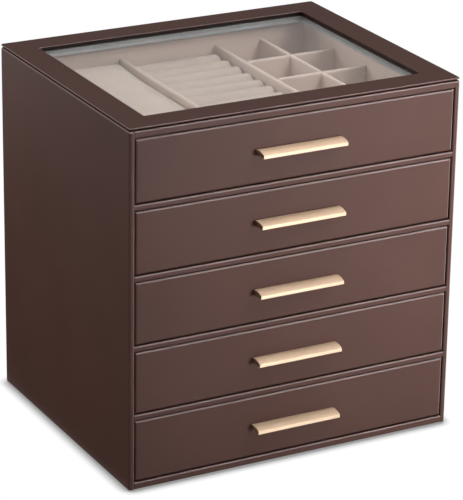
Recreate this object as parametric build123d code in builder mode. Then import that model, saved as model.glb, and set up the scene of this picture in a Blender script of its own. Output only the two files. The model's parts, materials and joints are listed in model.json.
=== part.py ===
from build123d import *
import os

# Drawer jewellery box: a leather-wrapped case with a glazed top and a column of lined drawers.
# Origin at the middle of the footprint on the standing surface, +Z up, fronts facing -Y.
# All sizes are in millimetres.

# Case
case_width = 230.0
case_depth = 188.0
board = 3.5
bottom_board = 4.5
bay_height = 42.2
drawer_count = 5
corner_round = 1.6
upright_inner_round = 0.9
edge_round = 1.1
edge_round_below = 0.6
groove_height = 1.1
groove_depth = 3.5
groove_round = 1.0
felt_thickness = 1.0
felt_inset = 3.0

# Glazed top
top_frame_thickness = 5.5
top_cover_thickness = 1.0
window_border = 18.8
lip_thickness = 1.8
glass_thickness = 2.0
glass_overlap = 5.0
glass_clearance = 0.3
retainer_height = 4.3
retainer_round = 0.8

# Drawer front and box
front_thickness = 6.0
front_recess = 0.2
front_side_gap = 0.65
front_gap_below = 0.9
front_gap_above = 0.8
front_round = 1.4
box_wall = 7.5
box_front_wall = 5.8
box_wall_height = 37.4
box_bottom = 3.0
box_side_gap = 1.5
box_back_gap = 1.5
box_lift = 0.3
wall_round = 2.0

# Handle
handle_length = 59.0
handle_reach = 9.5
handle_rise = 1.8
handle_crown = 0.9
handle_plate = 1.3
handle_end_wall = 1.4
handle_end_round = 0.3
handle_back_height = 3.7
handle_lip_drop = 1.25
handle_lip_height = 2.2
handle_lip_thickness = 1.5
handle_lip_round = 0.5
boss_width = 6.0
boss_height = 3.2
boss_depth = 6.9
boss_cover = 0.7

# Handle screws
screw_spacing = 32.0
screw_radius = 1.25
screw_head_radius = 2.3
screw_head_height = 1.4
screw_thread_depth = 6.0
screw_thread_clearance = 0.05
screw_hole_clearance = 0.25
screw_head_clearance = 0.3

# Dividers
divider = 3.0
divider_height = 26.9
divider_end_gap = 0.2
halving_clearance = 0.15

# Top drawer, from left to right: stud pad, ring rolls, small compartments
stud_pad_width = 66.0
ring_width = 67.5
compartment_columns = 2
compartment_rows = 4
pad_clearance = 0.3
pad_crown = 0.8
pad_end_drop = 1.2
pad_end_length = 4.0
pad_draw = 0.5
roll_count = 11
roll_slit = 0.8
roll_slit_depth = 10.0
roll_top_drop = 4.0
roll_round = 5.5
roll_crown = 0.5
roll_end_drop = 1.2
roll_end_length = 3.0
roll_end_draw = 0.4
roll_root = 1.0

# Lower drawers
second_drawer_lanes = 3

# Rounding is limited to these shares of the board that carries it
board_round_share = 0.46
cover_round_share = 0.42

# One overrun serves all cuts
cut_overrun = 1.0

# Case limits
half_width = case_width / 2
front_y = -case_depth / 2
back_y = case_depth / 2
inner_x = half_width - board
inner_back_y = back_y - board
bottom_top = felt_thickness + bottom_board
bay_pitch = bay_height + board
frame_bottom = bottom_top + drawer_count * bay_height + (drawer_count - 1) * board
frame_top = frame_bottom + top_frame_thickness
panel_top = frame_top - groove_height
case_height = frame_top + top_cover_thickness
window_width = case_width - 2 * window_border
window_depth = case_depth - 2 * window_border
glass_width = window_width + 2 * glass_overlap
glass_depth = window_depth + 2 * glass_overlap
rabbet_width = glass_width + 2 * glass_clearance
rabbet_depth = glass_depth + 2 * glass_clearance
glass_top = frame_top - lip_thickness
retainer_top = glass_top - glass_thickness

# Drawer limits that are the same in every drawer
front_face_y = front_y + front_recess
box_front_y = front_face_y + front_thickness
box_inner_front_y = box_front_y + box_front_wall
box_back_y = inner_back_y - box_back_gap
box_inner_back_y = box_back_y - box_wall
box_outer_x = inner_x - box_side_gap
box_inner_x = box_outer_x - box_wall
box_inner_depth = box_inner_back_y - box_inner_front_y
box_middle_y = (box_inner_back_y + box_inner_front_y) / 2
front_height = bay_height - front_gap_below - front_gap_above
front_half_width = inner_x - front_side_gap
screw_places = (-screw_spacing / 2, screw_spacing / 2)


def add_board(x_limits, y_limits, z_limits):
    """Add a rectangular board between the given limits to the part being built."""
    limits = (x_limits, y_limits, z_limits)
    middle = tuple((low + high) / 2 for low, high in limits)
    size = tuple(high - low for low, high in limits)
    with Locations(middle):
        Box(*size)


def upright_section(plane, across, thickness, low_z, height, top_round):
    """Section of an upright board standing at across on its plane, with a rounded top."""
    with BuildSketch(plane) as section:
        with Locations((across, low_z + height / 2)):
            Rectangle(thickness, height)
        top_corners = section.vertices().group_by(Axis.Y)[-1]
        fillet(top_corners, min(top_round, thickness * board_round_share))
    return section.sketch


def crowned_section(plane, across_limits, low_z, edge_z, crown_z):
    """Section of a padded piece: flat below, straight sides and an arched top."""
    low, high = across_limits
    with BuildSketch(plane) as section:
        with BuildLine():
            Polyline((low, edge_z), (low, low_z), (high, low_z), (high, edge_z))
            ThreePointArc((high, edge_z), ((low + high) / 2, crown_z), (low, edge_z))
        make_face()
    return section.sketch


def plane_at_x(x):
    """Upright plane across the box, seen with Y and Z as its axes."""
    return Plane.YZ.offset(x)


def plane_at_y(y):
    """Upright plane along the box, seen with X and Z as its axes, facing the front."""
    return Plane.XZ.offset(-y)


def add_long_divider(x, floor_z):
    """Add a divider from the box's front to its back, standing at x on the drawer's floor."""
    start = plane_at_y(box_inner_back_y - divider_end_gap)
    section = upright_section(start, x, divider, floor_z, divider_height, divider)
    extrude(section, amount=box_inner_depth - 2 * divider_end_gap)


def add_cross_divider(x_limits, y, floor_z):
    """Add a divider across the box between two faces, standing at y on the drawer's floor."""
    start = plane_at_x(x_limits[0] + divider_end_gap)
    section = upright_section(start, y, divider, floor_z, divider_height, divider)
    extrude(section, amount=x_limits[1] - x_limits[0] - 2 * divider_end_gap)


def cut_notch(x, y, z_limits):
    """Cut the halving notch where a long and a cross divider meet."""
    reach = divider / 2 + halving_clearance
    with Locations((x, y, sum(z_limits) / 2)):
        Box(2 * reach, 2 * reach, z_limits[1] - z_limits[0], mode=Mode.SUBTRACT)


def round_rail(builder):
    """Round the lower and the upper edge of a board's front face."""
    for place, radius in ((0, rail_round_below), (-1, rail_round)):
        face_edges = builder.faces().sort_by(Axis.Y)[0].edges().filter_by(Axis.X)
        fillet(face_edges.sort_by(Axis.Z)[place], radius)


def save(builder, name):
    """Name a finished piece and write it to its own file."""
    builder.part.label = name
    export_step(builder.part, f"parts/{name}.step")


os.makedirs("parts", exist_ok=True)
rail_round = min(edge_round, board * board_round_share)
rail_round_below = min(edge_round_below, board * board_round_share)

# Base felt
with BuildPart() as base_felt:
    felt_x = half_width - felt_inset
    felt_y = back_y - felt_inset
    add_board((-felt_x, felt_x), (-felt_y, felt_y), (0, felt_thickness))
save(base_felt, "base_felt")

# Side panels, with rounded front edges and a shadow groove between them and the top cover
for side, name in ((-1, "left_side_panel"), (1, "right_side_panel")):
    with BuildPart() as side_panel:
        panel_x = sorted((side * inner_x, side * half_width))
        add_board(panel_x, (front_y, back_y), (felt_thickness, panel_top))
        outer_uprights = side_panel.edges().filter_by(Axis.Z).group_by(SortBy.DISTANCE)[-1]
        upright_round = min(corner_round, board * board_round_share)
        fillet(outer_uprights, upright_round)
        inner_uprights = side_panel.edges().filter_by(Axis.Z).group_by(SortBy.DISTANCE)[0]
        fillet(inner_uprights.sort_by(Axis.Y)[0], min(upright_inner_round, board * board_round_share))
        top_edges = side_panel.faces().sort_by(Axis.Z)[-1].edges()
        fillet(top_edges, min(groove_round, board * board_round_share))
    save(side_panel, name)

# Back panel
with BuildPart() as back_panel:
    add_board((-inner_x, inner_x), (inner_back_y, back_y), (felt_thickness, panel_top))
    fillet(back_panel.faces().sort_by(Axis.Y)[-1].edges(), rail_round)
save(back_panel, "back_panel")

# Bottom panel, whose front edge is the bottom rail
with BuildPart() as bottom_panel:
    add_board((-inner_x, inner_x), (front_y, inner_back_y), (felt_thickness, bottom_top))
    round_rail(bottom_panel)
save(bottom_panel, "bottom_panel")

# Shelves between the drawers, numbered from the top
for number in range(1, drawer_count):
    shelf_top = bottom_top + (drawer_count - number) * bay_pitch
    with BuildPart() as shelf:
        add_board((-inner_x, inner_x), (front_y, inner_back_y), (shelf_top - board, shelf_top))
        round_rail(shelf)
    save(shelf, f"shelf_{number}")

# Top frame, stepped back at the groove, with the window opening and a rabbet for the glass
with BuildPart() as top_frame:
    add_board((-inner_x, inner_x), (front_y, inner_back_y), (frame_bottom, panel_top))
    add_board((-inner_x, inner_x), (front_y + groove_depth, inner_back_y), (panel_top, frame_top))
    round_rail(top_frame)
    with BuildSketch(Plane.XY.offset(frame_bottom - cut_overrun)):
        Rectangle(window_width, window_depth)
    extrude(amount=top_frame_thickness + 2 * cut_overrun, mode=Mode.SUBTRACT)
    with BuildSketch(Plane.XY.offset(frame_bottom - cut_overrun)):
        Rectangle(rabbet_width, rabbet_depth)
    extrude(amount=glass_top - frame_bottom + cut_overrun, mode=Mode.SUBTRACT)
save(top_frame, "top_frame")

# Glass pane under the frame's lip
with BuildPart() as glass_pane:
    with BuildSketch(Plane.XY.offset(retainer_top)):
        Rectangle(glass_width, glass_depth)
    extrude(amount=glass_thickness)
save(glass_pane, "glass_pane")

# Lined retainer that holds the glass from below
with BuildPart() as glass_retainer:
    with BuildSketch(Plane.XY.offset(retainer_top - retainer_height)):
        Rectangle(glass_width, glass_depth)
        Rectangle(window_width, window_depth, mode=Mode.SUBTRACT)
    extrude(amount=retainer_height)
    lower_edges = glass_retainer.faces().sort_by(Axis.Z)[0].edges()
    fillet(lower_edges, min(retainer_round, glass_overlap * board_round_share))
save(glass_retainer, "glass_retainer")

# Top cover, a thin sheet with rounded edges around the window
with BuildPart() as top_cover:
    with BuildSketch(Plane.XY.offset(frame_top)):
        RectangleRounded(case_width, case_depth, corner_round)
        Rectangle(window_width, window_depth, mode=Mode.SUBTRACT)
    extrude(amount=top_cover_thickness)
    cover_rims = top_cover.faces().filter_by(Axis.Z).edges()
    fillet(cover_rims, top_cover_thickness * cover_round_share)
save(top_cover, "top_cover")

# Drawers, numbered from the top
for number in range(1, drawer_count + 1):
    name = f"drawer_{number}"
    bay_floor = bottom_top + (drawer_count - number) * bay_pitch
    box_low = bay_floor + box_lift
    box_high = box_low + box_wall_height
    floor_z = box_low + box_bottom
    front_low = bay_floor + front_gap_below
    front_middle = front_low + front_height / 2
    handle_top = front_middle + handle_rise
    boss_top = handle_top - boss_cover
    screw_z = boss_top - boss_height / 2
    screw_points = [(x, screw_z) for x in screw_places]

    # Leather-wrapped front with clearance holes for the handle screws
    with BuildPart() as front:
        add_board(
            (-front_half_width, front_half_width),
            (front_face_y, box_front_y),
            (front_low, front_low + front_height),
        )
        front_edges = front.faces().sort_by(Axis.Y)[0].edges()
        fillet(front_edges, min(front_round, front_thickness * board_round_share))
        with BuildSketch(plane_at_y(box_front_y + cut_overrun)):
            with Locations(*screw_points):
                Circle(screw_radius + screw_hole_clearance)
        extrude(amount=front_thickness + 2 * cut_overrun, mode=Mode.SUBTRACT)
    save(front, f"{name}_front")

    # Side walls of the box, from the front to the back of the drawer
    for side, side_name in ((-1, "left"), (1, "right")):
        wall_x = side * (box_outer_x - box_wall / 2)
        with BuildPart() as side_wall:
            wall_section = upright_section(
                plane_at_y(box_back_y), wall_x, box_wall, box_low, box_wall_height, wall_round
            )
            extrude(wall_section, amount=box_back_y - box_front_y)
        save(side_wall, f"{name}_{side_name}_wall")

    # Back wall between the side walls
    with BuildPart() as back_wall:
        wall_section = upright_section(
            plane_at_x(-box_inner_x),
            box_back_y - box_wall / 2,
            box_wall,
            box_low,
            box_wall_height,
            wall_round,
        )
        extrude(wall_section, amount=2 * box_inner_x)
    save(back_wall, f"{name}_back_wall")

    # Front wall of the box, counterbored for the screw heads
    with BuildPart() as box_front:
        wall_section = upright_section(
            plane_at_x(-box_inner_x),
            box_front_y + box_front_wall / 2,
            box_front_wall,
            box_low,
            box_wall_height,
            wall_round,
        )
        extrude(wall_section, amount=2 * box_inner_x)
        with BuildSketch(plane_at_y(box_inner_front_y + cut_overrun)):
            with Locations(*screw_points):
                Circle(screw_radius + screw_hole_clearance)
        extrude(amount=box_front_wall + 2 * cut_overrun, mode=Mode.SUBTRACT)
        with BuildSketch(plane_at_y(box_inner_front_y + cut_overrun)):
            with Locations(*screw_points):
                Circle(screw_head_radius + screw_head_clearance)
        counterbore_depth = screw_head_height + screw_head_clearance
        extrude(amount=counterbore_depth + cut_overrun, mode=Mode.SUBTRACT)
    save(box_front, f"{name}_box_front")

    # Lined bottom board between the walls
    with BuildPart() as bottom:
        add_board(
            (-box_inner_x, box_inner_x),
            (box_inner_front_y, box_inner_back_y),
            (box_low, floor_z),
        )
    save(bottom, f"{name}_bottom")

    # Handle: an arched plate with a front lip and closed ends, and two bosses for the screws
    with BuildPart() as handle:
        lip_y = front_face_y - handle_reach
        lip_inner_y = lip_y + handle_lip_thickness
        lip_top = handle_top - handle_lip_drop
        lip_bottom = lip_top - handle_lip_height
        lip_round = min(handle_lip_round, handle_lip_thickness * board_round_share)
        plate_bottom = handle_top - handle_plate
        crest_z = (handle_top + lip_top) / 2 + handle_crown
        crest_y = (front_face_y + lip_y) / 2
        under_crest_y = (front_face_y + lip_inner_y) / 2
        with BuildSketch(plane_at_x(-handle_length / 2)) as handle_section:
            with BuildLine():
                ThreePointArc((front_face_y, handle_top), (crest_y, crest_z), (lip_y, lip_top))
                Polyline(
                    (lip_y, lip_top),
                    (lip_y, lip_bottom),
                    (lip_inner_y, lip_bottom),
                    (lip_inner_y, lip_top - handle_plate),
                )
                ThreePointArc(
                    (lip_inner_y, lip_top - handle_plate),
                    (under_crest_y, crest_z - handle_plate),
                    (front_face_y, plate_bottom),
                )
                Line((front_face_y, plate_bottom), (front_face_y, handle_top))
            make_face()
            lip_corners = handle_section.vertices().group_by(Axis.X)[0]
            fillet(lip_corners, lip_round)
        extrude(amount=handle_length)
        for x in (-handle_length / 2, handle_length / 2 - handle_end_wall):
            with BuildSketch(plane_at_x(x)) as end_section:
                with BuildLine():
                    ThreePointArc((front_face_y, handle_top), (crest_y, crest_z), (lip_y, lip_top))
                    Polyline(
                        (lip_y, lip_top),
                        (lip_y, lip_bottom),
                        (front_face_y, handle_top - handle_back_height),
                        (front_face_y, handle_top),
                    )
                make_face()
                fillet(end_section.vertices().group_by(Axis.X)[0], lip_round)
            extrude(amount=handle_end_wall)
        end_round = min(handle_end_round, handle_end_wall * board_round_share)
        for end in (0, -1):
            end_rim = handle.faces().sort_by(Axis.X)[end].edges().sort_by(Axis.Y)[:-1]
            fillet(end_rim, end_round)
        for x in screw_places:
            add_board(
                (x - boss_width / 2, x + boss_width / 2),
                (front_face_y - boss_depth, front_face_y),
                (boss_top - boss_height, boss_top),
            )
        with BuildSketch(plane_at_y(front_face_y + cut_overrun)):
            with Locations(*screw_points):
                Circle(screw_radius + screw_thread_clearance)
        thread_hole_depth = screw_thread_depth + screw_thread_clearance
        extrude(amount=thread_hole_depth + cut_overrun, mode=Mode.SUBTRACT)
    save(handle, f"{name}_handle")

    # Handle screws, heads seated in the counterbores of the box front
    with BuildPart() as handle_screws:
        head_seat_y = box_inner_front_y - counterbore_depth
        with BuildSketch(plane_at_y(head_seat_y + screw_head_height)):
            with Locations(*screw_points):
                Circle(screw_head_radius)
        extrude(amount=screw_head_height)
        with BuildSketch(plane_at_y(head_seat_y)):
            with Locations(*screw_points):
                Circle(screw_radius)
        extrude(amount=head_seat_y - front_face_y + screw_thread_depth)
    save(handle_screws, f"{name}_handle_screws")

    # Top drawer: stud pad, ring rolls and small compartments
    if number == 1:
        pad_divider_x = -box_inner_x + stud_pad_width + divider / 2
        ring_divider_x = pad_divider_x + divider + ring_width
        compartments_x = (ring_divider_x + divider / 2, box_inner_x)
        column_width = (compartments_x[1] - compartments_x[0]) / compartment_columns
        row_depth = box_inner_depth / compartment_rows
        lane_places = [compartments_x[0] + i * column_width for i in range(1, compartment_columns)]
        row_places = [box_inner_front_y + i * row_depth for i in range(1, compartment_rows)]
        divider_top = floor_z + divider_height
        notch_middle = floor_z + divider_height / 2

        # Boards from front to back; those among the compartments are notched from above
        with BuildPart() as long_dividers:
            add_long_divider(pad_divider_x, floor_z)
            add_long_divider(ring_divider_x, floor_z)
            for x in lane_places:
                add_long_divider(x, floor_z)
                for y in row_places:
                    cut_notch(x, y, (notch_middle - halving_clearance, divider_top + cut_overrun))
        save(long_dividers, f"{name}_long_dividers")

        # Boards across the compartments, notched from below over the long ones
        with BuildPart() as cross_dividers:
            for y in row_places:
                add_cross_divider(compartments_x, y, floor_z)
                for x in lane_places:
                    cut_notch(x, y, (floor_z - cut_overrun, notch_middle))
        save(cross_dividers, f"{name}_cross_dividers")

        # Stud pad with a low crown, drawn in along its sides and lower at its ends
        with BuildPart() as stud_pad:
            pad_x = (-box_inner_x + pad_clearance, pad_divider_x - divider / 2 - pad_clearance)
            pad_y = (box_inner_front_y + pad_clearance, box_inner_back_y - pad_clearance)
            drawn_x = (pad_x[0] + pad_draw, pad_x[1] - pad_draw)
            pad_stations = (
                (pad_y[0], pad_x, pad_end_drop),
                (pad_y[0] + pad_end_length, pad_x, 0),
                (box_middle_y, drawn_x, 0),
                (pad_y[1] - pad_end_length, pad_x, 0),
                (pad_y[1], pad_x, pad_end_drop),
            )
            pad_sections = [
                crowned_section(
                    plane_at_y(y), limits, floor_z, divider_top - pad_crown - drop, divider_top - drop
                )
                for y, limits, drop in pad_stations
            ]
            loft(pad_sections, ruled=True)
        save(stud_pad, f"{name}_stud_pad")

        # Ring rolls: one foam insert slit into round-topped rolls that sink at their ends
        with BuildPart() as ring_rolls:
            ring_x = (
                pad_divider_x + divider / 2 + pad_clearance,
                ring_divider_x - divider / 2 - pad_clearance,
            )
            ring_y = (box_inner_front_y + pad_clearance, box_inner_back_y - pad_clearance)
            roll_pitch = (ring_y[1] - ring_y[0]) / roll_count
            roll_top = divider_top - roll_top_drop
            slit_floor = roll_top - roll_slit_depth
            roll_stations = (
                (ring_x[0], roll_end_draw, roll_end_drop),
                (ring_x[0] + roll_end_length, 0, 0),
                ((ring_x[0] + ring_x[1]) / 2, 0, -roll_crown),
                (ring_x[1] - roll_end_length, 0, 0),
                (ring_x[1], roll_end_draw, roll_end_drop),
            )
            add_board(ring_x, ring_y, (floor_z, slit_floor))
            for i in range(roll_count):
                roll_y = ring_y[0] + (i + 1 / 2) * roll_pitch
                roll_sections = []
                for x, draw, drop in roll_stations:
                    half_roll = (roll_pitch - roll_slit) / 2 - draw
                    roll_sections.append(
                        crowned_section(
                            plane_at_x(x),
                            (roll_y - half_roll, roll_y + half_roll),
                            slit_floor - roll_root,
                            roll_top - drop - roll_round,
                            roll_top - drop,
                        )
                    )
                loft(roll_sections, ruled=True)
        save(ring_rolls, f"{name}_ring_rolls")

    # Second drawer: long lanes
    if number == 2:
        lane_width = 2 * box_inner_x / second_drawer_lanes
        with BuildPart() as long_dividers:
            for i in range(1, second_drawer_lanes):
                add_long_divider(-box_inner_x + i * lane_width, floor_z)
        save(long_dividers, f"{name}_long_dividers")

    # Third drawer: a long and a cross divider halved into each other
    if number == 3:
        notch_middle = floor_z + divider_height / 2
        divider_top = floor_z + divider_height
        with BuildPart() as long_divider:
            add_long_divider(0, floor_z)
            cut_notch(
                0, box_middle_y, (notch_middle - halving_clearance, divider_top + cut_overrun)
            )
        with BuildPart() as dividers:
            add_cross_divider((-box_inner_x, box_inner_x), box_middle_y, floor_z)
            cut_notch(0, box_middle_y, (floor_z - cut_overrun, notch_middle))
            add(long_divider.part)
        save(dividers, f"{name}_dividers")

    # Fourth drawer: one divider down the middle
    if number == 4:
        with BuildPart() as long_divider:
            add_long_divider(0, floor_z)
        save(long_divider, f"{name}_long_divider")

print(f"case {case_width} x {case_depth} x {case_height}")
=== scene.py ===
import json
import math

import bmesh
import bpy
import numpy as np
from mathutils import Matrix, Vector


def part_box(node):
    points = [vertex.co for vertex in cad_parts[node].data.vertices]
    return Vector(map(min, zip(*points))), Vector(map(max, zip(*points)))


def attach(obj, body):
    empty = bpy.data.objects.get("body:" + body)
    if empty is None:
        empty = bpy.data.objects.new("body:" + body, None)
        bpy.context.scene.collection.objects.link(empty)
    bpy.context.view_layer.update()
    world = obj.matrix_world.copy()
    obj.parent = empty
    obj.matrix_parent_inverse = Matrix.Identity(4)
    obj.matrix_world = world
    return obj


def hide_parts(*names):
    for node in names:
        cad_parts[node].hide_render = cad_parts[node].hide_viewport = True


# Looks of the drawer jewellery box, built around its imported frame. All lengths are in metres.
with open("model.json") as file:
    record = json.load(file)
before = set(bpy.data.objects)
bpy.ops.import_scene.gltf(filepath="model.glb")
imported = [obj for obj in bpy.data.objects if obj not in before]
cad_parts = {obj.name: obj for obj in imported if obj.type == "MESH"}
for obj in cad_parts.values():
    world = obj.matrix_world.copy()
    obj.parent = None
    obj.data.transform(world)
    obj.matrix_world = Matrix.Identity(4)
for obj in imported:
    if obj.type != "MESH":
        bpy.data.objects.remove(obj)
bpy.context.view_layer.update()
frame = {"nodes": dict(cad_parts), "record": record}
nodes = frame["nodes"]
scene = bpy.context.scene
scene.view_settings.view_transform = "Standard"

# Camera, fitted to the edges of the case in the photograph
camera_place = Vector((-0.7921, -1.4710, 0.7625))
camera_azimuth = math.radians(-28.46)
camera_elevation = math.radians(21.39)
camera_roll = math.radians(0.89)
camera_sensor_mm = 36.0
camera_lens_mm = 198.67
camera_near = 0.01
camera_far = 50.0

# Floor that reads as white, with a narrow shadow where the box stands
white = (1.0, 1.0, 1.0)
floor_half = 8.0
floor_bounce_share = 0.55
floor_paper_share = 0.12
floor_glow = 0.95
contact_reach = 0.0075
contact_open_share = 0.5
contact_shade_share = 0.3
contact_samples = 8

# Surround, dark in front and paler towards the back
straight_front = -1.0
world_front = (0.02, 0.02, 0.02)
world_back = (0.30, 0.305, 0.31)

# Soft lamps
key_place = Vector((0.32, -1.15, 0.19))
key_size = (0.26, 0.30)
key_power = 1.46
key_target = Vector((0.19, -0.094, 0.215))
key_spread = math.radians(46.0)
key_colour = (0.97, 1.04, 1.10)
over_place = Vector((0.44, -0.64, 0.91))
over_size = (0.45, 0.45)
over_power = 4.5
top_place = Vector((0.05, -0.10, 1.00))
top_size = (0.6, 0.6)
top_power = 3.0
fill_place = Vector((-1.10, 0.62, 0.50))
fill_size = (0.8, 0.8)
fill_power = 9.9
lamp_target = Vector((0.0, 0.0, 0.12))

# Dark card on the floor beside the left side
flag_x = (-0.60, -0.117)
flag_y = (-0.60, 0.70)
flag_lift = 0.0005
flag_share = 0.02

# Noise: how many finer layers a pattern has and how rough they are
broad_detail = 1.0
even_detail = 3.0
fine_detail = 4.0
plain_noise_roughness = 0.5
fibre_noise_roughness = 0.7

# Colour sockets of a mix node
mix_first = 6
mix_second = 7
mix_result = 2

# Leather: two close browns, a fine grain, broad ripples and painted highlights on the rounded edges that
# face up
leather_red = (0.0735, 0.0328, 0.0248)
leather_plum = (0.0712, 0.0346, 0.0276)
leather_tint_size = 0.11
leather_deep_share = 0.86
leather_pale_share = 1.12
leather_mottle_size = 0.05
leather_roughness = 0.45
leather_roughness_spread = 0.05
leather_roughness_size = 0.025
leather_shine = 0.12
leather_grain_size = 0.0011
leather_grain_height = 0.00003
leather_grain_softness = 0.6
leather_ripple_size = 0.03
leather_ripple_height = 0.0001
# Painted highlight: the rounded edges that face up are paled towards this colour, with a little lower
# roughness there
leather_painted_highlight_colour = (0.29, 0.217, 0.205)
leather_painted_highlight_share = 0.7
leather_edge_start = 0.005
leather_edge_full = 0.12
leather_edge_down = -0.35
leather_edge_up = 0.05
leather_edge_smoothing = 0.08

# Window opening of the top cover, whose upright inner walls are darkened with painted shade
window_half = (0.0975, 0.0765)
window_blend = 0.0005
# Painted shade on the window's upright inner walls: a deep copy of the leather colour
window_wall_painted_shade = (0.01595, 0.007326, 0.005742)
window_wall_start = 0.8
window_wall_full = 0.3

# Velvet
velvet_beige = (0.555, 0.445, 0.388)
lining_beige = (0.69, 0.54, 0.47)
retainer_grey = (0.34, 0.345, 0.35)
velvet_deep_share = 0.88
velvet_pale_share = 1.06
velvet_fibre_size = 0.0004
velvet_fibre_height = 0.00012
velvet_nap_size = 0.018
velvet_speckle_share = 0.3
velvet_roughness = 0.92
velvet_shine = 0.1
velvet_sheen = 0.08
velvet_sheen_roughness = 0.45

# Metal of the handles
gold_colour = (0.53, 0.385, 0.27)
gold_roughness = 0.55
gold_roughness_spread = 0.06
gold_streak_size = 0.0006
gold_streak_stretch = 60.0
gold_streak_height = 0.000006
gold_anisotropy = 0.8
gold_deep_share = 0.86
gold_pale_share = 1.1

# Glass
glass_tint = (0.97, 0.985, 0.98)
glass_index = 1.5

# Felt under the base
felt_brown = (0.035, 0.022, 0.018)
felt_fibre_size = 0.0006
felt_fibre_height = 0.0002
felt_deep_share = 0.7
felt_pale_share = 1.4
felt_roughness = 0.95
felt_shine = 0.1
felt_sheen = 0.2

# Steel of the screws
steel_grey = (0.55, 0.55, 0.56)
steel_roughness = 0.32
steel_roughness_spread = 0.08
steel_mottle_size = 0.002
steel_deep_share = 0.85
steel_pale_share = 1.1

# Soft pieces of the top tray: fabric over foam, blown up a little by a pressure
puff_pressure = 4.0
puff_mass = 0.05
puff_stiffness = 8.0
puff_steps = 20
foot_height = 0.0015
shortest_move = 1e-9
pad_inset = 0.0009
pad_height_inset = 0.00045
pad_voxel = 0.003
pad_travel = 0.0015
roll_count = 11
roll_seed = 11
roll_inset = 0.0007
roll_gap = 0.00025
roll_arc_steps = 12
roll_voxel = 0.0018
roll_travel = 0.0014
roll_bend = 0.0004
roll_sag = 0.0005

# Drawers, each with a handle on screws with domed heads and a cross recess
drawer_count = 5
screw_turn_steps = 48
screw_shank_radius = 0.00125
screw_tip = 0.0004
screw_head_height = 0.0014
screw_rim = 0.00012
screw_dome = 0.0005
screw_dome_steps = 6
screw_crease = math.radians(30.0)
recess_length = 0.0028
recess_width = 0.0007
recess_depth = 0.0009
recess_overrun = 0.0002
recess_taper_share = 0.55
weld_reach = 0.000003


def add_node(tree, kind, inputs=None, **settings):
    """Add a shader node; each input, by name or number, is a value or another node's output."""
    made = tree.nodes.new(kind)
    for name, value in settings.items():
        setattr(made, name, value)
    for name, value in (inputs or {}).items():
        if isinstance(value, bpy.types.NodeSocket):
            tree.links.new(value, made.inputs[name])
        else:
            made.inputs[name].default_value = value
    return made


def new_material(name):
    """A material with an empty node tree and its output."""
    material = bpy.data.materials.new(name)
    material.use_nodes = True
    tree = material.node_tree
    tree.nodes.clear()
    output = add_node(tree, "ShaderNodeOutputMaterial")
    return material, tree, output


def finish_surface(tree, output, inputs):
    """Give a material its one surface, with the given inputs."""
    surface = add_node(tree, "ShaderNodeBsdfPrincipled", inputs)
    tree.links.new(surface.outputs["BSDF"], output.inputs["Surface"])


def shade(colour, share=1.0):
    """A colour scaled by a share, with full alpha."""
    return tuple(channel * share for channel in colour) + (1.0,)


def object_place(tree, scale=(1.0, 1.0, 1.0)):
    """The place on the piece in metres, stretched by a scale along each axis."""
    place = add_node(tree, "ShaderNodeTexCoord")
    stretched = add_node(
        tree, "ShaderNodeMapping", {"Vector": place.outputs["Object"], "Scale": scale}
    )
    return stretched.outputs["Vector"]


def noise(tree, place, size, detail, roughness=plain_noise_roughness):
    """Noise with features of the given size."""
    made = add_node(
        tree,
        "ShaderNodeTexNoise",
        {"Vector": place, "Scale": 1.0 / size, "Detail": detail, "Roughness": roughness},
    )
    return made.outputs["Fac"]


def ramp_between(tree, factor, low, high):
    """Map a factor from 0 to 1 onto the range from low to high."""
    made = add_node(tree, "ShaderNodeMapRange", {"Value": factor, "To Min": low, "To Max": high})
    return made.outputs["Result"]


def spread_around(tree, factor, middle, spread):
    """Map a factor from 0 to 1 onto a range around a middle value."""
    return ramp_between(tree, factor, middle - spread, middle + spread)


def mix_colours(tree, factor, first, second):
    """Mix two colours by a factor."""
    made = add_node(
        tree,
        "ShaderNodeMix",
        {"Factor": factor, mix_first: first, mix_second: second},
        data_type="RGBA",
        clamp_factor=True,
    )
    return made.outputs[mix_result]


def two_tones(tree, factor, colour, deep_share, pale_share):
    """Vary a colour between a deeper and a paler tone by a factor."""
    return mix_colours(tree, factor, shade(colour, deep_share), shade(colour, pale_share))


def bump(tree, height, distance, below=None):
    """Raise the surface by a height from 0 to 1 over a distance, on top of another bump."""
    inputs = {"Height": height, "Distance": distance, "Strength": 1.0}
    if below is not None:
        inputs["Normal"] = below
    made = add_node(tree, "ShaderNodeBump", inputs)
    return made.outputs["Normal"]


def math_node(tree, operation, *values):
    """A number worked out from one or two others."""
    made = add_node(tree, "ShaderNodeMath", dict(enumerate(values)), operation=operation)
    return made.outputs["Value"]


def product(tree, first, second):
    """Two numbers multiplied."""
    return math_node(tree, "MULTIPLY", first, second)


def opposite(tree, share):
    """What is left of 1 when a share is taken away."""
    return math_node(tree, "SUBTRACT", 1.0, share)


def smooth_step(tree, value, start, full):
    """A smooth rise from 0 at start to 1 at full."""
    made = add_node(
        tree,
        "ShaderNodeMapRange",
        {"Value": value, "From Min": start, "From Max": full},
        interpolation_type="SMOOTHSTEP",
    )
    return made.outputs["Result"]


def inside_window(tree, place):
    """1 within the outline of the window opening, 0 outside it."""
    parts = add_node(tree, "ShaderNodeSeparateXYZ", {"Vector": place})
    shares = []
    for axis, half in zip("XY", window_half):
        distance = math_node(tree, "ABSOLUTE", parts.outputs[axis])
        shares.append(smooth_step(tree, distance, half, half - window_blend))
    return product(tree, *shares)


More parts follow.
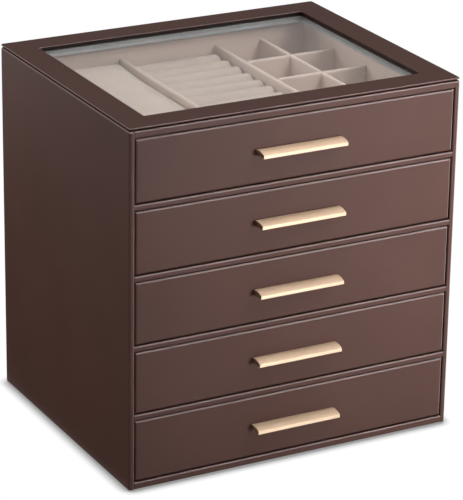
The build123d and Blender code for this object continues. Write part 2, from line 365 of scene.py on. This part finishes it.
def painted_edge_highlights(tree, facing, window):
    """Where a highlight is painted on a rounded edge, from 0 on a flat face to 1.

    Edges that face down or level to the left stay dark, and so do the edges
    inside the window's outline that don't face the front.
    """
    sizes = [math_node(tree, "ABSOLUTE", facing.outputs[axis]) for axis in "XYZ"]
    largest = math_node(tree, "MAXIMUM", math_node(tree, "MAXIMUM", sizes[0], sizes[1]), sizes[2])
    on_edge = smooth_step(tree, opposite(tree, largest), leather_edge_start, leather_edge_full)
    facing_up = smooth_step(tree, facing.outputs["Z"], leather_edge_down, leather_edge_up)
    facing_left, facing_front = (
        smooth_step(tree, facing.outputs[axis], -leather_edge_start, -leather_edge_full) for axis in "XY"
    )
    level = smooth_step(tree, facing.outputs["Z"], leather_edge_full, leather_edge_start)
    shaded = product(tree, facing_left, level)
    sheltered = product(tree, window, opposite(tree, facing_front))
    highlight_mask = product(tree, on_edge, facing_up)
    for hidden in (shaded, sheltered):
        highlight_mask = product(tree, highlight_mask, opposite(tree, hidden))
    return highlight_mask


def leather_material():
    """Smooth brown synthetic leather: fine grain, soft mottling, a satin shine, painted highlights on the
    upward edges and painted shade on the window's inner walls.
    """
    material, tree, output = new_material("brown_leather")
    place = object_place(tree)
    mottle = noise(tree, place, leather_mottle_size, fine_detail)
    tint = noise(tree, place, leather_tint_size, broad_detail)
    deep, pale = (
        mix_colours(tree, tint, shade(leather_red, share), shade(leather_plum, share))
        for share in (leather_deep_share, leather_pale_share)
    )
    colour = mix_colours(tree, mottle, deep, pale)
    geometry = add_node(tree, "ShaderNodeNewGeometry")
    facing = add_node(tree, "ShaderNodeSeparateXYZ", {"Vector": geometry.outputs["Normal"]})
    window = inside_window(tree, place)
    # Painted shade: the upright walls inside the window take a deep copy of the leather colour
    upright = smooth_step(tree, facing.outputs["Z"], window_wall_start, window_wall_full)
    colour = mix_colours(tree, product(tree, window, upright), colour, shade(window_wall_painted_shade))
    # Painted highlight: paler colour on the rounded edges that face up, where the lamps above would catch
    # them
    highlight_mask = painted_edge_highlights(tree, facing, window)
    painted_highlight_amount = product(tree, highlight_mask, leather_painted_highlight_share)
    colour = mix_colours(tree, painted_highlight_amount, colour, shade(leather_painted_highlight_colour))
    patches = noise(tree, place, leather_roughness_size, even_detail)
    roughness = spread_around(tree, patches, leather_roughness, leather_roughness_spread)
    smoothed = product(tree, highlight_mask, leather_edge_smoothing)
    ripple = noise(tree, place, leather_ripple_size, broad_detail)
    grain = add_node(
        tree,
        "ShaderNodeTexVoronoi",
        {"Vector": place, "Scale": 1.0 / leather_grain_size, "Smoothness": leather_grain_softness},
        feature="SMOOTH_F1",
    )
    wavy = bump(tree, ripple, leather_ripple_height)
    finish_surface(
        tree,
        output,
        {
            "Base Color": colour,
            "Roughness": math_node(tree, "SUBTRACT", roughness, smoothed),
            "Specular IOR Level": leather_shine,
            "Normal": bump(tree, grain.outputs["Distance"], leather_grain_height, wavy),
        },
    )
    return material


def velvet_material(name, colour):
    """Short-pile velvet: fine fibres, brushed patches of nap and a soft sheen."""
    material, tree, output = new_material(name)
    place = object_place(tree)
    fibre = noise(tree, place, velvet_fibre_size, even_detail, fibre_noise_roughness)
    nap = noise(tree, place, velvet_nap_size, even_detail)
    patches = two_tones(tree, nap, colour, velvet_deep_share, velvet_pale_share)
    speckles = ramp_between(tree, fibre, 0.0, velvet_speckle_share)
    finish_surface(
        tree,
        output,
        {
            "Base Color": mix_colours(tree, speckles, patches, shade(colour, velvet_deep_share)),
            "Roughness": velvet_roughness,
            "Specular IOR Level": velvet_shine,
            "Sheen Weight": velvet_sheen,
            "Sheen Roughness": velvet_sheen_roughness,
            "Normal": bump(tree, fibre, velvet_fibre_height),
        },
    )
    return material


def gold_material():
    """Champagne gold with fine brushed streaks along the handle."""
    material, tree, output = new_material("champagne_gold")
    place = object_place(tree, (1.0 / gold_streak_stretch, 1.0, 1.0))
    streaks = noise(tree, place, gold_streak_size, even_detail)
    tangent = add_node(tree, "ShaderNodeTangent", direction_type="RADIAL", axis="X")
    finish_surface(
        tree,
        output,
        {
            "Base Color": two_tones(tree, streaks, gold_colour, gold_deep_share, gold_pale_share),
            "Metallic": 1.0,
            "Roughness": spread_around(tree, streaks, gold_roughness, gold_roughness_spread),
            "Anisotropic": gold_anisotropy,
            "Tangent": tangent.outputs["Tangent"],
            "Normal": bump(tree, streaks, gold_streak_height),
        },
    )
    return material


def glass_material():
    """Clear float glass that lets the lamps through to the tray."""
    material, tree, output = new_material("clear_glass")
    glass = add_node(
        tree,
        "ShaderNodeBsdfPrincipled",
        {
            "Base Color": shade(glass_tint),
            "Roughness": 0.0,
            "IOR": glass_index,
            "Transmission Weight": 1.0,
        },
    )
    clear = add_node(tree, "ShaderNodeBsdfTransparent", {"Color": shade(glass_tint)})
    path = add_node(tree, "ShaderNodeLightPath")
    mixed = add_node(
        tree,
        "ShaderNodeMixShader",
        {"Fac": path.outputs["Is Shadow Ray"], 1: glass.outputs["BSDF"], 2: clear.outputs["BSDF"]},
    )
    tree.links.new(mixed.outputs["Shader"], output.inputs["Surface"])
    return material


def felt_material():
    """Dark brown felt with coarse fibres."""
    material, tree, output = new_material("brown_felt")
    fibre = noise(tree, object_place(tree), felt_fibre_size, fine_detail, fibre_noise_roughness)
    finish_surface(
        tree,
        output,
        {
            "Base Color": two_tones(tree, fibre, felt_brown, felt_deep_share, felt_pale_share),
            "Roughness": felt_roughness,
            "Specular IOR Level": felt_shine,
            "Sheen Weight": felt_sheen,
            "Normal": bump(tree, fibre, felt_fibre_height),
        },
    )
    return material


def steel_material():
    """Plain zinc-plated steel of the screws."""
    material, tree, output = new_material("screw_steel")
    mottle = noise(tree, object_place(tree), steel_mottle_size, even_detail)
    finish_surface(
        tree,
        output,
        {
            "Base Color": two_tones(tree, mottle, steel_grey, steel_deep_share, steel_pale_share),
            "Metallic": 1.0,
            "Roughness": spread_around(tree, mottle, steel_roughness, steel_roughness_spread),
        },
    )
    return material


def set_material(piece, material):
    """Give a piece one material in place of any others."""
    piece.data.materials.clear()
    piece.data.materials.append(material)


def dress_frame():
    """Give every node its material by its slot in the record; the glass retainer has a greyer lining."""
    finishes = {
        "leather": leather_material(),
        "velvet": velvet_material("beige_velvet", velvet_beige),
        "lined_board": velvet_material("lining_velvet", lining_beige),
        "gold_metal": gold_material(),
        "screw_steel": steel_material(),
        "glass": glass_material(),
        "felt": felt_material(),
    }
    for subpart in frame["record"]["subparts"]:
        set_material(nodes[subpart["node"]], finishes[subpart["material_slot"]])
    set_material(nodes["glass_retainer"], velvet_material("pale_lining", retainer_grey))
    return finishes


def new_mesh(name, points, faces):
    """A mesh from its points and faces."""
    mesh = bpy.data.meshes.new(name)
    mesh.from_pydata(points, [], faces)
    return mesh


def put_in_scene(name, mesh):
    """An object in the scene that shows a mesh."""
    piece = bpy.data.objects.new(name, mesh)
    scene.collection.objects.link(piece)
    return piece


def points_of(mesh):
    """The places of a mesh's points as rows."""
    flat = np.empty(len(mesh.vertices) * 3)
    mesh.vertices.foreach_get("co", flat)
    return flat.reshape(-1, 3)


def move_points(mesh, places):
    """Put a mesh's points at the given places."""
    mesh.vertices.foreach_set("co", places.ravel())
    mesh.update()


def node_box(node):
    """The lowest and highest corners of a node."""
    low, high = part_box(node)
    return np.array(low), np.array(high)


def as_modified(piece):
    """A piece as its modifiers leave it."""
    return piece.evaluated_get(bpy.context.evaluated_depsgraph_get())


def smooth_all(mesh):
    """Shade all faces of a mesh smoothly."""
    mesh.polygons.foreach_set("use_smooth", [True] * len(mesh.polygons))


def joined_copies(name, mesh, copies):
    """One mesh of several copies of another, each given by the places of its points."""
    faces = [list(face.vertices) for face in mesh.polygons]
    all_faces = []
    for index in range(len(copies)):
        offset = index * len(mesh.vertices)
        all_faces.extend([corner + offset for corner in face] for face in faces)
    return new_mesh(name, np.concatenate(copies).tolist(), all_faces)


def prism_faces(count):
    """The faces between two outlines of as many points, and the two ends."""
    faces = [tuple(range(count)), tuple(reversed(range(count, 2 * count)))]
    for index in range(count):
        after = (index + 1) % count
        faces.append((index, count + index, count + after, after))
    return faces


def remeshed(mesh, voxel):
    """A copy of a closed mesh with even faces of the given size."""
    rough = put_in_scene("rough", mesh)
    even = rough.modifiers.new("even", "REMESH")
    even.mode = "VOXEL"
    even.voxel_size = voxel
    made = bpy.data.meshes.new_from_object(as_modified(rough))
    bpy.data.objects.remove(rough)
    return made


def puff(mesh, travel):
    """Blow the fabric of a closed mesh up by a pressure and return the new places of its points.

    The foot stays where it is, and no point moves further than travel.
    """
    pad = put_in_scene("pad", mesh)
    places = points_of(mesh)
    foot = pad.vertex_groups.new(name="foot")
    held = np.flatnonzero(places[:, 2] < places[:, 2].min() + foot_height)
    foot.add([int(index) for index in held], 1.0, "REPLACE")
    cloth = pad.modifiers.new("cloth", "CLOTH")
    cloth.settings.mass = puff_mass
    cloth.settings.tension_stiffness = puff_stiffness
    cloth.settings.compression_stiffness = puff_stiffness
    cloth.settings.use_pressure = True
    cloth.settings.uniform_pressure_force = puff_pressure
    cloth.settings.vertex_group_mass = "foot"
    cloth.settings.effector_weights.gravity = 0.0
    cloth.collision_settings.use_collision = False
    cloth.point_cache.frame_end = puff_steps
    for step in range(1, puff_steps + 1):
        scene.frame_set(step)
    swollen = points_of(as_modified(pad).data)
    scene.frame_set(1)
    bpy.data.objects.remove(pad, do_unlink=True)
    moves = swollen - places
    lengths = np.linalg.norm(moves, axis=1, keepdims=True)
    return places + moves * np.minimum(1.0, travel / np.maximum(lengths, shortest_move))


def add_padded(name, mesh, node, material):
    """Add a finished padded piece in place of its solid, smooth and once subdivided."""
    piece = put_in_scene(name, mesh)
    smooth_all(mesh)
    finer = piece.modifiers.new("finer", "SUBSURF")
    finer.levels = 1
    finer.render_levels = 1
    set_material(piece, material)
    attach(piece, "drawer_1")
    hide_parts(node)


def add_stud_pad(material):
    """Stud pad: the solid drawn in a little, then blown up into a crowned pad."""
    node = "drawer_1_stud_pad"
    low, high = node_box(node)
    middle = (low + high) / 2
    small = nodes[node].data.copy()
    inset = np.array((pad_inset, pad_inset, pad_height_inset))
    shrink = (high - low - 2 * inset) / (high - low)
    places = middle + (points_of(small) - middle) * shrink
    places[:, 2] -= pad_height_inset
    move_points(small, places)
    mesh = remeshed(small, pad_voxel)
    move_points(mesh, np.clip(puff(mesh, pad_travel), low, high))
    add_padded("stud_pad_velvet", mesh, node, material)


def loaf(length, width, height):
    """A closed loaf along X that stands on the ground: upright sides and a round top."""
    radius = width / 2
    profile = [(-radius, 0.0)]
    for step in range(roll_arc_steps + 1):
        turn = math.pi * step / roll_arc_steps
        profile.append((-radius * math.cos(turn), height - radius + radius * math.sin(turn)))
    profile.append((radius, 0.0))
    points = [(side * length / 2, y, z) for side in (-1, 1) for y, z in profile]
    return new_mesh("loaf", points, prism_faces(len(profile)))


def add_ring_rolls(material):
    """Ring rolls: one roll is blown up, then laid side by side with small differences."""
    node = "drawer_1_ring_rolls"
    low, high = node_box(node)
    size = high - low
    pitch = size[1] / roll_count
    start = loaf(size[0] - 2 * roll_inset, pitch - 2 * roll_inset, size[2] - roll_inset)
    roll = remeshed(start, roll_voxel)
    places = puff(roll, roll_travel)
    along = places[:, 0] / size[0]
    bow = np.cos(math.pi * along)
    upper_share = np.clip(places[:, 2] / size[2], 0.0, 1.0)
    chance = np.random.default_rng(roll_seed)
    copies = []
    for index in range(roll_count):
        cell_low = low[1] + index * pitch + roll_gap
        cell_high = low[1] + (index + 1) * pitch - roll_gap
        lean, sag, tilt = chance.uniform(-1.0, 1.0, 3)
        laid = places + np.array(((low[0] + high[0]) / 2, (cell_low + cell_high) / 2, low[2]))
        laid[:, 1] += lean * roll_bend * bow * upper_share
        laid[:, 2] -= roll_sag * upper_share * ((1.0 + sag) / 2 * bow + tilt * along)
        copies.append(np.clip(laid, (low[0], cell_low, low[2]), (high[0], cell_high, high[2])))
    mesh = joined_copies("ring_rolls_velvet", roll, copies)
    add_padded("ring_rolls_velvet", mesh, node, material)


def clean_up(mesh):
    """Weld the points of a closed mesh that coincide and turn all its faces outward."""
    work = bmesh.new()
    work.from_mesh(mesh)
    bmesh.ops.remove_doubles(work, verts=work.verts, dist=weld_reach)
    bmesh.ops.dissolve_degenerate(work, edges=work.edges, dist=weld_reach)
    bmesh.ops.recalc_face_normals(work, faces=work.faces)
    work.to_mesh(mesh)
    work.free()


def turned(profile):
    """A closed mesh turned around Y from a profile of (radius, place) with both ends on the axis."""
    points = [(0.0, profile[end][1], 0.0) for end in (0, -1)]
    first_ring = len(points)
    for radius, place in profile[1:-1]:
        for step in range(screw_turn_steps):
            turn = 2 * math.pi * step / screw_turn_steps
            points.append((radius * math.cos(turn), place, radius * math.sin(turn)))
    rings = range(first_ring, len(points), screw_turn_steps)
    faces = []
    for step in range(screw_turn_steps):
        after = (step + 1) % screw_turn_steps
        rows = [(ring + step, ring + after) for ring in rings]
        faces.append((0, rows[0][0], rows[0][1]))
        faces.append((1, rows[-1][1], rows[-1][0]))
        for lower, upper in zip(rows, rows[1:]):
            faces.append((lower[0], upper[0], upper[1], lower[1]))
    mesh = new_mesh("turned", points, faces)
    clean_up(mesh)
    return mesh


def recess_cutter(along, across, top):
    """One arm of the cross recess, along one axis and across another, narrower at its floor."""
    points = []
    for place, share in ((top - recess_depth, recess_taper_share), (top + recess_overrun, 1.0)):
        for end, side in ((-1, -1), (1, -1), (1, 1), (-1, 1)):
            point = [0.0, place, 0.0]
            point[along] = end * share * recess_length / 2
            point[across] = side * share * recess_width / 2
            points.append(point)
    mesh = new_mesh("recess", points, prism_faces(len(points) // 2))
    clean_up(mesh)
    return put_in_scene("recess", mesh)


def screw_mesh(head_radius, length):
    """One screw along Y from its tip at 0 to the top of its domed head, with a cross recess."""
    seat = length - screw_head_height
    profile = [
        (0.0, 0.0),
        (screw_shank_radius - screw_tip, 0.0),
        (screw_shank_radius, screw_tip),
        (screw_shank_radius, seat),
        (head_radius - screw_rim, seat),
        (head_radius, seat + screw_rim),
    ]
    for step in range(screw_dome_steps):
        turn = math.pi / 2 * step / screw_dome_steps
        profile.append((head_radius * math.cos(turn), length - screw_dome + screw_dome * math.sin(turn)))
    profile.append((0.0, length))
    screw = put_in_scene("screw", turned(profile))
    rough = [screw]
    for along, across in ((0, 2), (2, 0)):
        cut = screw.modifiers.new("recess", "BOOLEAN")
        cut.object = recess_cutter(along, across, length)
        cut.solver = "EXACT"
        rough.append(cut.object)
    made = bpy.data.meshes.new_from_object(as_modified(screw))
    clean_up(made)
    for piece in rough:
        bpy.data.objects.remove(piece)
    return made


def add_handle_screws(number, material):
    """Screws of one handle in place of its plain solids."""
    node = f"drawer_{number}_handle_screws"
    low, high = node_box(node)
    radius = (high[2] - low[2]) / 2
    screw = screw_mesh(radius, high[1] - low[1])
    level = (low[2] + high[2]) / 2
    copies = [points_of(screw) + np.array((x, low[1], level)) for x in (low[0] + radius, high[0] - radius)]
    name = f"drawer_{number}_cross_screws"
    mesh = joined_copies(name, screw, copies)
    smooth_all(mesh)
    mesh.set_sharp_from_angle(angle=screw_crease)
    piece = put_in_scene(name, mesh)
    set_material(piece, material)
    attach(piece, f"drawer_{number}")
    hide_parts(node)


def add_camera():
    """Place the camera where the photograph was taken from."""
    backward = Vector(
        (
            math.sin(camera_azimuth) * math.cos(camera_elevation),
            -math.cos(camera_azimuth) * math.cos(camera_elevation),
            math.sin(camera_elevation),
        )
    )
    level_right = (-backward).cross(Vector((0.0, 0.0, 1.0))).normalized()
    level_up = level_right.cross(-backward)
    right = math.cos(camera_roll) * level_right + math.sin(camera_roll) * level_up
    up = math.cos(camera_roll) * level_up - math.sin(camera_roll) * level_right
    data = bpy.data.cameras.new("camera")
    data.sensor_width = camera_sensor_mm
    data.lens = camera_lens_mm
    data.clip_start = camera_near
    data.clip_end = camera_far
    camera = bpy.data.objects.new("camera", data)
    turn = Matrix((right, up, backward)).transposed().to_4x4()
    camera.matrix_world = Matrix.Translation(camera_place) @ turn
    scene.collection.objects.link(camera)
    scene.camera = camera


def add_softbox(name, place, size, power, target, spread=math.pi, colour=white):
    """Add a soft rectangular lamp that faces its target; a grid on it narrows the spread."""
    data = bpy.data.lights.new(name, "AREA")
    data.shape = "RECTANGLE"
    data.size, data.size_y = size
    data.energy = power
    data.spread = spread
    data.color = colour
    lamp = bpy.data.objects.new(name, data)
    lamp.location = place
    lamp.rotation_euler = (target - place).to_track_quat("-Z", "Y").to_euler()
    lamp.visible_camera = False
    scene.collection.objects.link(lamp)


def level_card(name, x_ends, y_ends, height):
    """A level rectangle between two ends along X and two along Y."""
    corners = [(x_ends[x], y_ends[y], height) for x, y in ((0, 0), (1, 0), (1, 1), (0, 1))]
    return put_in_scene(name, new_mesh(name, corners, [tuple(range(len(corners)))]))


def floor_material():
    """Pale floor that looks white to the eye, in reflections and through glass, and keeps the shadow."""
    material, tree, output = new_material("white_floor")
    path = add_node(tree, "ShaderNodeLightPath")
    seen = path.outputs["Is Camera Ray"]
    for kind in ("Is Glossy Ray", "Is Transmission Ray"):
        seen = math_node(tree, "MAXIMUM", seen, path.outputs[kind])
    contact = add_node(
        tree, "ShaderNodeAmbientOcclusion", {"Distance": contact_reach}, samples=contact_samples
    )
    shaded = add_node(
        tree,
        "ShaderNodeMapRange",
        {
            "Value": contact.outputs["AO"],
            "From Min": contact_open_share,
            "To Min": floor_glow * contact_shade_share,
            "To Max": floor_glow,
        },
    )
    plain = add_node(tree, "ShaderNodeBsdfDiffuse", {"Color": shade(white, floor_bounce_share)})
    paper = add_node(tree, "ShaderNodeBsdfDiffuse", {"Color": shade(white, floor_paper_share)})
    glow = add_node(tree, "ShaderNodeEmission", {"Strength": shaded.outputs["Result"]})
    lit = add_node(tree, "ShaderNodeAddShader", {0: paper.outputs["BSDF"], 1: glow.outputs["Emission"]})
    chosen = add_node(
        tree,
        "ShaderNodeMixShader",
        {"Fac": seen, 1: plain.outputs["BSDF"], 2: lit.outputs["Shader"]},
    )
    tree.links.new(chosen.outputs["Shader"], output.inputs["Surface"])
    return material


def add_floor():
    """Add the floor."""
    floor_ends = (-floor_half, floor_half)
    floor = level_card("floor", floor_ends, floor_ends, 0.0)
    set_material(floor, floor_material())


def add_surround():
    """Light the scene from all around, more from the back than from the front."""
    world = bpy.data.worlds.new("surround")
    scene.world = world
    world.use_nodes = True
    tree = world.node_tree
    direction = add_node(tree, "ShaderNodeTexCoord")
    parts = add_node(tree, "ShaderNodeSeparateXYZ", {"Vector": direction.outputs["Generated"]})
    towards_back = add_node(
        tree, "ShaderNodeMapRange", {"Value": parts.outputs["Y"], "From Min": straight_front}
    )
    colour = mix_colours(tree, towards_back.outputs["Result"], shade(world_front), shade(world_back))
    tree.links.new(colour, tree.nodes["Background"].inputs["Color"])


def add_flag():
    """Add a dark card beside the box that only reflections see, as a studio uses to keep a side dark."""
    flag = level_card("flag", flag_x, flag_y, flag_lift)
    material, tree, output = new_material("dark_card")
    card = add_node(tree, "ShaderNodeBsdfDiffuse", {"Color": shade(white, flag_share)})
    tree.links.new(card.outputs["BSDF"], output.inputs["Surface"])
    set_material(flag, material)
    for kind in ("camera", "diffuse", "transmission", "shadow"):
        setattr(flag, f"visible_{kind}", False)


def add_lamps():
    """Add a gridded lamp in front, one behind on the left, and two overhead."""
    add_softbox("key", key_place, key_size, key_power, key_target, key_spread, key_colour)
    add_softbox("fill", fill_place, fill_size, fill_power, lamp_target)
    add_softbox("over", over_place, over_size, over_power, lamp_target)
    add_softbox("top", top_place, top_size, top_power, lamp_target)


add_camera()
add_floor()
add_surround()
add_flag()
add_lamps()
finishes = dress_frame()
add_stud_pad(finishes["velvet"])
add_ring_rolls(finishes["velvet"])
for drawer_number in range(1, drawer_count + 1):
    add_handle_screws(drawer_number, finishes["screw_steel"])
